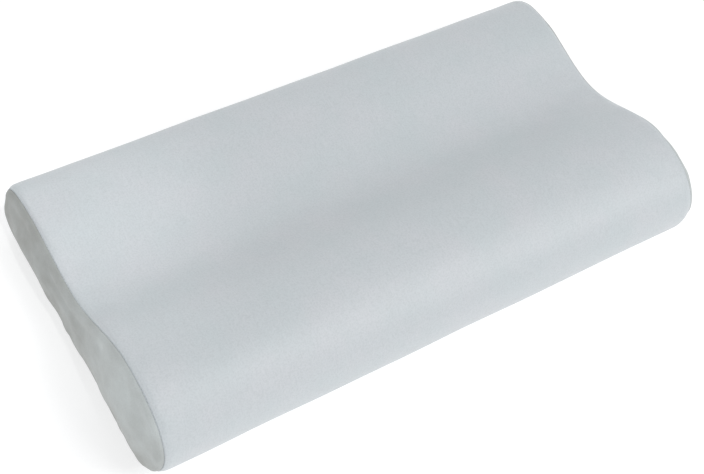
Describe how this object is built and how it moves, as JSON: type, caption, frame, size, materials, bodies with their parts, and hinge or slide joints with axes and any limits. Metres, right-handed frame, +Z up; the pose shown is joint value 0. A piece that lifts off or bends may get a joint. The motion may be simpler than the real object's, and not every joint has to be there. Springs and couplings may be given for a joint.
{
  "type": "contoured bed pillow",
  "caption": "Wave-contoured foam bed pillow: a moulded foam block in a sewn liner, inside a smooth knitted cover with a zip along its back.",
  "frame": {"origin": "middle of the flat base, on the surface that the pillow rests on", "axes": "+X along the pillow's length, +Y towards the low back lobe and the zip, +Z up"},
  "size_m": [0.6, 0.3049, 0.1],
  "materials": {
    "foam": "open-cell viscoelastic foam, matte, cream",
    "liner_knit": "thin white stockinette, matte",
    "cover_knit": "smooth fine knit with a satin sheen, pale blue-grey",
    "end_velour": "short-napped velour, slightly mottled, warm grey",
    "thread": "spun polyester thread, pale grey",
    "zip_tape": "woven tape, pale grey",
    "zip_nylon": "extruded nylon coil, satin",
    "zip_metal": "pressed metal, satin",
    "slider_enamel": "die-cast metal, pale grey enamel",
    "label_satin": "woven satin ribbon, blank, white"
  },
  "bodies": {
    "root": {"foam_core": "foam", "liner_wrap": "liner_knit", "liner_left_end": "liner_knit", "liner_right_end": "liner_knit", "cover_wrap": "cover_knit", "cover_left_end": "end_velour", "cover_right_end": "end_velour", "left_seam_thread": "thread", "right_seam_thread": "thread", "zip_tape_upper": "zip_tape", "zip_tape_lower": "zip_tape", "zip_coil_upper": "zip_nylon", "zip_coil_lower": "zip_nylon", "zip_top_stop_upper": "zip_metal", "zip_top_stop_lower": "zip_metal", "zip_bottom_stop": "zip_metal", "zip_stitch_upper": "thread", "zip_stitch_lower": "thread", "care_label": "label_satin"},
    "slider": {"slider_body": "slider_enamel"},
    "pull": {"slider_pull": "slider_enamel"}
  },
  "joints": [
    {"name": "zip_slide", "type": "slide", "parent": "root", "child": "slider", "axis": [-1, 0, 0], "range_m": [0, 0.528]},
    {"name": "pull_hinge", "type": "hinge", "parent": "slider", "child": "pull", "pos_m": [0.264, 0.15305, 0.038], "axis": [0, 0, -1], "range_deg": [0, 180]}
  ]
}
